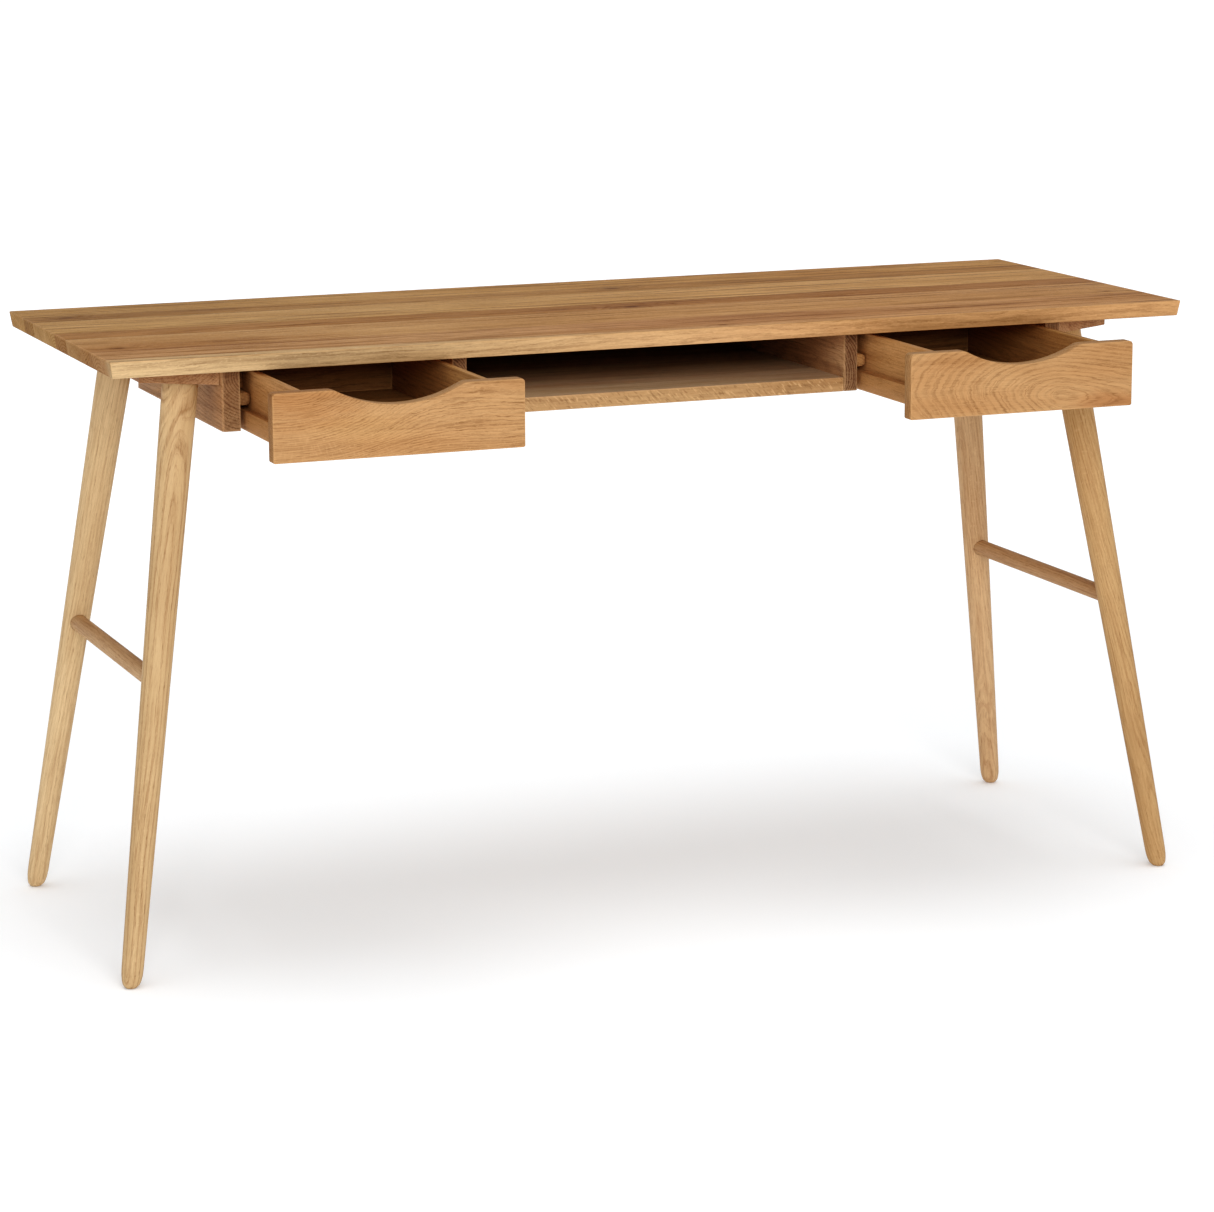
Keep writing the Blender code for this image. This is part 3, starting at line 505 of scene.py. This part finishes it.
def top_planks(t, wood):
    """Boards glued edge to edge: each has its own tone, its own patch of wood and its own pith.

    A strip of paler sapwood runs out along the left of the front edge."""
    x, y, _ = t.split(wood)
    y = t.math("SUBTRACT", y, TOP_CENTRE_Y)
    step, tint, seam = 0.0, PLANKS[0][1] + (1.0,), 0.0
    for (limit, _), (_, next_tone) in zip(PLANKS, PLANKS[1:]):
        past = t.math("GREATER_THAN", y, limit)
        step = t.math("ADD", step, past)
        tint = t.mix(past, tint, next_tone + (1.0,))
        near = t.ramp(t.math("ABSOLUTE", t.math("SUBTRACT", y, limit)), *SEAM_HALF, 1.0, 0.0)
        seam = t.math("MAXIMUM", seam, near)
    wander = t.noise(t.vec("MULTIPLY", wood, (3.0, 30.0, 30.0)), 1.0, 2.0, 0.5)
    edge = t.math("ADD", y, t.math("MULTIPLY", wander, 0.03))
    sap = t.math("MULTIPLY", t.ramp(edge, *SAP_FADE, 1.0, 0.0), t.ramp(x, *SAP_END, 1.0, 0.15))
    tint = t.mix(sap, tint, SAPWOOD)
    drifting = t.mix(t.ramp(x, -0.5, 0.5), LEFT_TONE, RIGHT_TONE)
    tint = t.mix(1.0, tint, drifting, "MULTIPLY")
    tint = t.mix(t.math("MULTIPLY", seam, SEAM_SHARE), tint, SEAM_COLOUR)
    a, b, c = (t.random(t.math("ADD", step, k)) for k in (0.37, 5.91, 11.3))
    shift = t.join(t.math("MULTIPLY", a, 7.0), t.math("MULTIPLY", b, 3.0), t.math("MULTIPLY", c, 3.0))
    pith_x = t.math("MULTIPLY", t.math("SUBTRACT", a, 0.5), 1.0)
    pith_y = t.math("MULTIPLY", t.math("SUBTRACT", t.math("DIVIDE", step, 5.0), 0.5), PITH_SPREAD)
    pith_y = t.math("ADD", pith_y, t.math("MULTIPLY", t.math("SUBTRACT", b, 0.5), PITH_SHAKE))
    pith_z = t.math("SUBTRACT", PITH_LEVEL, t.math("MULTIPLY", c, PITH_DROP))
    bend, knot = 0.0, 0.0
    ragged = t.noise(t.vec("MULTIPLY", wood, (60.0, 160.0, 60.0)), 1.0, 3.0, 0.6)
    for knot_x, knot_y, half in KNOTS:
        across = t.math("DIVIDE", t.math("SUBTRACT", y, knot_y), half)
        along = t.math("DIVIDE", t.math("SUBTRACT", x, knot_x), half * KNOT_LENGTH)
        away = t.hypot(across, along)
        bend = t.math("ADD", bend, t.ramp(away, 0.3, 4.2, 2.0 * half, 0.0))
        heart = t.ramp(t.math("ADD", away, ragged), 0.75, 1.7, 1.0, 0.0)
        knot = t.math("MAXIMUM", knot, t.math("MAXIMUM", heart, t.ramp(away, 0.8, 3.2, 0.30, 0.0)))
    return shift, tint, t.join(pith_x, t.math("ADD", pith_y, TOP_CENTRE_Y), pith_z), bend, knot


# ---------------------------------------------------------------- which wood each node is made of


def middle(name):
    low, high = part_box(name)
    return (low + high) / 2


def dress(name, made):
    data = nodes[name].data
    data.materials.clear()
    data.materials.append(made)


def board(name, along, into, palette, seed, **more):
    """A squared board: also paler at its edges, partly from wear and partly from a painted highlight."""
    dress(name, oak_material("oak_" + name, along, into, palette, seed=seed, box=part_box(name), **more))


board("tabletop", "x", "z", "top", 1.0, slope=0.030, rounding=0.008, ring_width=0.0042,
      contrast=0.75, streak=(0.9, 0.7), band=(1.9, 0.7), fleck=0.25, end_shade=0.78, gloss=0.05,
      face_tint=(1.13, 1.12, 1.12), planks=top_planks, patches=TOP_PATCHES)

for word, side in (("left", -1), ("right", 1)):
    # upright case boards: grain from front to back
    c = middle(f"case_side_{word}")
    board(f"case_side_{word}", "y", "x", "case", 2.0 + side, tint=(1.02, 1.00, 1.00), end_shade=0.60,
          contrast=(0.9, 1.1), streak=1.0,
          pith=wood_place(c + Vector((0.04, 0.1, 0.03)), "y", "x"), slope=0.10, ring_width=0.0036)
    c = middle(f"case_divider_{word}")
    board(f"case_divider_{word}", "y", "x", "case", 4.6 + side, tint=(0.98, 0.96, 0.98), end_shade=0.52,
          contrast=(0.8, 1.8),
          pith=wood_place(c + Vector((-0.05, -0.05, -0.02)), "y", "x"), slope=0.12, ring_width=0.0032)

c = middle("centre_shelf")
board("centre_shelf", "x", "z", "case", 7.0, pith=wood_place(c + Vector((0.3, 0.2, 0.16)), "x", "z"),
      slope=0.08, fleck=(0.05, 1.0), fleck_lean=0.9, contrast=0.4, streak=0.6, tint=(0.83, 0.80, 0.70),
      face_tint=(1.23, 1.62, 2.35))
# painted shade: the case back, deep inside the case, is made darker than the other case boards
c = middle("case_back")
board("case_back", "x", "y", "case", 8.0, pith=wood_place(c + Vector((-0.2, 0.03, 0.02)), "x", "y"),
      slope=0.07, tint=(0.85, 0.80, 0.76))

# painted light and shade: each leg's wood is made lighter or darker by its own factor, the back legs lighter
# and the front right leg darker, in place of the light each one gets
LEG_PAINTED_LIGHT_AND_SHADE = {
    "front_left": (1.07, 1.17, 1.22),
    "back_left": (1.20, 1.36, 1.48),
    "front_right": (0.92, 0.90, 0.82),
    "back_right": (1.09, 1.12, 1.20),
}
LEG_PITH_DEPTH = 0.030
LEG_PITH_RISE = {True: 0.61, False: 0.66}   # how far up a leg the pith is nearest: the arched one, the others
# painted shade: the right stretcher's wood is made darker than the left one's
STRETCHER_PAINTED_SHADE = {"left": (1.04, 1.04, 1.06), "right": (0.86, 0.79, 0.77)}
# painted shade and light: the left runners, in the dark gap beside the left drawer, are made darker and the
# right ones lighter
RUNNER_PAINTED_LIGHT_AND_SHADE = {"left": (0.80, 0.78, 0.80), "right": (1.28, 1.28, 1.32)}
for word, side in (("left", -1), ("right", 1)):
    c = middle(f"leg_board_{word}")
    board(f"leg_board_{word}", "y", "z", "case", 9.0 + side, end_shade=1.0, contrast=(1.0, 0.6),
          tint=(0.85, 0.75, 0.73),
          pith=wood_place(c + Vector((0.02 * side, 0.0, 0.05)), "y", "z"), slope=0.09)
    for end in ("front", "back"):
        name = f"leg_{end}_{word}"
        low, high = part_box(name)
        # the leg's line runs from the outer foot to the inner top
        foot = Vector((low.x if side < 0 else high.x, low.y if end == "front" else high.y, low.z))
        head = Vector((high.x if side < 0 else low.x, high.y if end == "front" else low.y, high.z))
        axis = (head - foot).normalized()
        # the pith lies beside the leg; the front left leg was cut with it in front, and shows an arch
        arched = name == "leg_front_left"
        beside = Vector((-0.37, -0.93, 0.0)) if arched else Vector((-1.0, 0.0, 0.0))
        cross = (beside - axis * beside.dot(axis)).normalized()
        axes = (axis, axis.cross(cross).normalized(), cross)
        seed = 11.0 + side + (0.37 if end == "front" else 0.0)
        near = foot + axis * LEG_PITH_RISE[arched]
        pith = [near.dot(a) for a in axes]
        pith[2] += LEG_PITH_DEPTH
        figure = dict(slope=0.055, ring_width=0.0040, contrast=0.8, streak=0.65)
        if arched:
            figure = dict(slope=(0.055, 0.13), ring_width=0.0062, contrast=1.25, streak=0.5, wander=0.35)
        dress(name, oak_material("oak_" + name, palette="leg", seed=seed, frame_axes=axes, pith=tuple(pith),
                                 rounding=0.006, sharpness=1.6, fleck=0.2, tint=LEG_PAINTED_LIGHT_AND_SHADE[f"{end}_{word}"],
                                 **figure))
    name = f"side_stretcher_{word}"
    c = middle(name)
    dress(name, oak_material("oak_" + name, "y", "z", "leg", seed=15.0 + side,
                             pith=wood_place(c + Vector((0, 0.1, 0.025)), "y", "z"),
                             slope=0.05, ring_width=0.0034, fleck=0.2, contrast=0.7,
                             tint=STRETCHER_PAINTED_SHADE[word]))
    for where in ("outer", "inner"):
        name = f"runner_{word}_{where}"
        c = middle(name)
        board(name, "y", "z", "inside", 17.0 + side + len(where) * 0.1, contrast=0.5,
              tint=RUNNER_PAINTED_LIGHT_AND_SHADE[word],
              pith=wood_place(c + Vector((0.01, 0, 0.03)), "y", "z"), slope=0.04)


def front_place(x, y, z):
    return wood_place((x, y, z), "x", "y")


# drawers: the fronts carry the figure that shows most
low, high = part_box("drawer_left_front")
board("drawer_left_front", "x", "y", "front", 21.0, ring_width=0.0025, end_shade=0.82,
      pith=front_place(low.x + 0.030, low.y - 0.008, high.z + 0.002),
      slope=(0.20, 0.42), rounding=0.006, reach=0.15, contrast=1.15, sharpness=1.8, streak=0.45, fleck=0.2,
      patches=(
          (front_place(low.x + 0.030, low.y, high.z - 0.010), (0.085, 0.030), (0.86, 0.76, 0.68)),
          (front_place(low.x + 0.110, low.y, low.z + 0.035), (0.070, 0.018), (1.04, 1.05, 1.01)),
      ))
low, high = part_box("drawer_right_front")
board("drawer_right_front", "x", "y", "front", 22.0, ring_width=0.0047, end_shade=0.84,
      pith=front_place(low.x + 0.205, low.y - 0.014, low.z + 0.018),
      slope=(0.40, 0.17), rounding=0.004, tilt=0.07, contrast=0.95, sharpness=1.9, streak=0.35, fleck=0.15,
      patches=(
          (front_place(low.x + 0.275, low.y, low.z + 0.006), (0.050, 0.014), (0.86, 0.76, 0.72)),
          (front_place(low.x + 0.060, low.y, high.z - 0.012), (0.060, 0.016), (0.93, 0.88, 0.84)),
      ))
# painted shade on the drawer sides: each side is darkened by its own factor, the right drawer's outer side
# most, then the left drawer's outer side under the top
DRAWER_SIDE_PAINTED_SHADE = {
    "left_left": (0.93, 0.87, 0.86),
    "left_right": (1.00, 0.97, 0.93),
    "right_left": (0.96, 0.91, 0.90),
    "right_right": (0.84, 0.77, 0.68),
}
for word, side in (("left", -1), ("right", 1)):
    for hand in ("left", "right"):
        name = f"drawer_{word}_side_{hand}"
        c = middle(name)
        board(name, "y", "x", "inside", 24.0 + side + len(hand) * 0.3,
              pith=wood_place(c + Vector((0.03, -0.1, -0.02)), "y", "x"), slope=0.10,
              contrast=0.6, streak=0.8, tint=DRAWER_SIDE_PAINTED_SHADE[f"{word}_{hand}"])
    # painted shade inside the drawers: the backs and bottoms are made darker than the sides
    name = f"drawer_{word}_back"
    c = middle(name)
    board(name, "x", "y", "inside", 27.0 + side, pith=wood_place(c + Vector((0.1, 0.03, 0)), "x", "y"),
          slope=0.1, tint=(0.62, 0.57, 0.52))
    name = f"drawer_{word}_bottom"
    c = middle(name)
    board(name, "x", "z", "inside", 29.0 + side, pith=wood_place(c + Vector((0.05, 0, 0.06)), "x", "z"),
          slope=0.05, tint=(0.86, 0.80, 0.72))

STEEL = steel_material()
for name in nodes:
    if "screw" in name:
        dress(name, STEEL)

# ---------------------------------------------------------------- smooth shading that keeps the real edges

WELD_DISTANCE = 1e-5


def smooth_group(limit):
    """Welds a piece's loose faces and shades it smooth across each edge that bends less than the limit."""
    group = bpy.data.node_groups.new("smooth by angle", "GeometryNodeTree")
    group.interface.new_socket("Geometry", in_out="INPUT", socket_type="NodeSocketGeometry")
    group.interface.new_socket("Geometry", in_out="OUTPUT", socket_type="NodeSocketGeometry")
    new, link = group.nodes.new, group.links.new
    start, end = new("NodeGroupInput"), new("NodeGroupOutput")
    weld = new("GeometryNodeMergeByDistance")
    weld.inputs["Distance"].default_value = WELD_DISTANCE
    angle = new("GeometryNodeInputMeshEdgeAngle")
    soft = new("FunctionNodeCompare")
    soft.operation = "LESS_THAN"
    soft.inputs[1].default_value = limit
    faces = new("GeometryNodeSetShadeSmooth")
    edges = new("GeometryNodeSetShadeSmooth")
    edges.domain = "EDGE"
    link(start.outputs[0], weld.inputs["Geometry"])
    link(weld.outputs["Geometry"], faces.inputs["Geometry"])
    link(faces.outputs[0], edges.inputs["Geometry"])
    link(angle.outputs["Unsigned Angle"], soft.inputs[0])
    link(soft.outputs[0], edges.inputs["Shade Smooth"])
    link(edges.outputs[0], end.inputs[0])
    return group


SMOOTH_ANGLE = math.radians(32)
SMOOTH = smooth_group(SMOOTH_ANGLE)
for name, obj in nodes.items():
    obj.modifiers.new("smooth", "NODES").node_group = SMOOTH

# ---------------------------------------------------------------- floor, light and camera

FLOOR_SHADE, FLOOR_ROUGHNESS = (0.915, 0.94, 0.96), 0.9
FLOOR_HALF, FLOOR_LEVEL = 14.0, -0.0005
FLOOR_GLOW, FAR_GLOW, GLOW_RISE = 0.10, 0.30, (0.5, 3.0)   # the glow rises from one Y to the other
WHITE = (1, 1, 1, 1)


def studio_material(name):
    made, t = material(name)
    where = t.add("ShaderNodeTexCoord").outputs["Object"]
    grain = t.noise(where, 60.0, 3.0, 0.6)
    shader = t.add("ShaderNodeBsdfPrincipled")
    shader.inputs["Specular IOR Level"].default_value = 0.1
    bright = tuple(min(1.0, c * 1.01) for c in FLOOR_SHADE) + (1.0,)
    t.put(shader.inputs["Base Color"], t.mix(grain, FLOOR_SHADE + (1.0,), bright))
    shader.inputs["Roughness"].default_value = FLOOR_ROUGHNESS
    shader.inputs["Emission Color"].default_value = WHITE
    # the sweep behind the desk is lit a little more than the floor under it
    glow = t.ramp(t.split(where)[1], *GLOW_RISE, FLOOR_GLOW, FAR_GLOW)
    t.put(shader.inputs["Emission Strength"], glow)
    t.put(t.add("ShaderNodeOutputMaterial").inputs["Surface"], shader.outputs[0])
    return made


def plane(name, half, z, made):
    mesh = bpy.data.meshes.new(name)
    corners = [(-half, -half, z), (half, -half, z), (half, half, z), (-half, half, z)]
    mesh.from_pydata(corners, [], [(0, 1, 2, 3)])
    mesh.materials.append(made)
    obj = bpy.data.objects.new(name, mesh)
    bpy.context.scene.collection.objects.link(obj)
    return obj


floor = plane("studio_floor", FLOOR_HALF, FLOOR_LEVEL, studio_material("studio_floor"))

KEY_PLACE, KEY_TARGET = (-1.2, -5.2, 2.4), (0.0, -0.1, 0.55)
KEY_WIDTH, KEY_HEIGHT, KEY_WATTS = 3.0, 1.6, 156.0
WASH_STRENGTH, WASH_ANGLE, WASH_LEAN = 0.90, math.radians(36), math.radians(4)
ROOM_SEEN, ROOM_LIGHT = 1.1, 0.62    # the white room as the camera sees it, and as it lights the desk


def soft_box(name, place, target, width, height, watts):
    light = bpy.data.lights.new(name, "AREA")
    light.shape = "RECTANGLE"
    light.size, light.size_y = width, height
    light.energy = watts
    obj = bpy.data.objects.new(name, light)
    bpy.context.scene.collection.objects.link(obj)
    away = (Vector(place) - Vector(target)).normalized()
    obj.matrix_world = Matrix.Translation(place) @ away.to_track_quat("Z", "Y").to_matrix().to_4x4()
    return obj


key = soft_box("key", KEY_PLACE, KEY_TARGET, KEY_WIDTH, KEY_HEIGHT, KEY_WATTS)
key.visible_camera = False

# a wide overhead wash that only the floor receives: it keeps the floor white and draws the desk's shadow
wash = bpy.data.objects.new("floor_wash", bpy.data.lights.new("floor_wash", "SUN"))
wash.data.energy = WASH_STRENGTH
wash.data.angle = WASH_ANGLE
wash.rotation_euler = (WASH_LEAN, 0.0, 0.0)
bpy.context.scene.collection.objects.link(wash)
washed = bpy.data.collections.new("washed")
washed.objects.link(floor)
wash.light_linking.receiver_collection = washed

world = bpy.data.worlds.new("studio")
bpy.context.scene.world = world
world.use_nodes = True
w = Tree(world.node_tree)
world.node_tree.nodes.clear()
seen, lit = w.add("ShaderNodeBackground"), w.add("ShaderNodeBackground")
for background, strength in ((seen, ROOM_SEEN), (lit, ROOM_LIGHT)):
    background.inputs["Color"].default_value = WHITE
    background.inputs["Strength"].default_value = strength
choose = w.add("ShaderNodeMixShader")
w.put(choose.inputs[0], w.add("ShaderNodeLightPath").outputs["Is Camera Ray"])
w.put(choose.inputs[1], lit.outputs[0])
w.put(choose.inputs[2], seen.outputs[0])
w.put(w.add("ShaderNodeOutputWorld").inputs["Surface"], choose.outputs[0])

CAMERA_PLACE = (-1.7933, -4.4200, 1.3728)
CAMERA_YAW, CAMERA_PITCH, CAMERA_ROLL = 0.38154, -0.2063, -0.0041
CAMERA_LENS, CAMERA_SENSOR, CAMERA_CLIP = 113.50, 36.0, (0.05, 100.0)
camera = bpy.data.objects.new("camera", bpy.data.cameras.new("camera"))
camera.data.sensor_width = CAMERA_SENSOR
camera.data.lens = CAMERA_LENS
camera.data.clip_start, camera.data.clip_end = CAMERA_CLIP
forward = Vector((math.sin(CAMERA_YAW) * math.cos(CAMERA_PITCH),
                  math.cos(CAMERA_YAW) * math.cos(CAMERA_PITCH), math.sin(CAMERA_PITCH)))
right = Vector((math.cos(CAMERA_YAW), -math.sin(CAMERA_YAW), 0.0))
up = right.cross(forward)
turned_right = math.cos(CAMERA_ROLL) * right + math.sin(CAMERA_ROLL) * up
turned_up = -math.sin(CAMERA_ROLL) * right + math.cos(CAMERA_ROLL) * up
pose = Matrix((turned_right, turned_up, -forward)).transposed().to_4x4()
camera.matrix_world = Matrix.Translation(CAMERA_PLACE) @ pose
bpy.context.scene.collection.objects.link(camera)
bpy.context.scene.camera = camera

bpy.context.scene.view_settings.view_transform = "Standard"
bpy.context.scene.view_settings.look = "None"
# a print-like toe: shadows sink a little, middle tones and lights stay
TOE = ((0.012, 0.0055), (0.05, 0.035), (0.15, 0.138), (0.40, 0.400))
bpy.context.scene.view_settings.use_curve_mapping = True
curves = bpy.context.scene.view_settings.curve_mapping
for dark_in, dark_out in TOE:
    curves.curves[3].points.new(dark_in, dark_out)
curves.update()
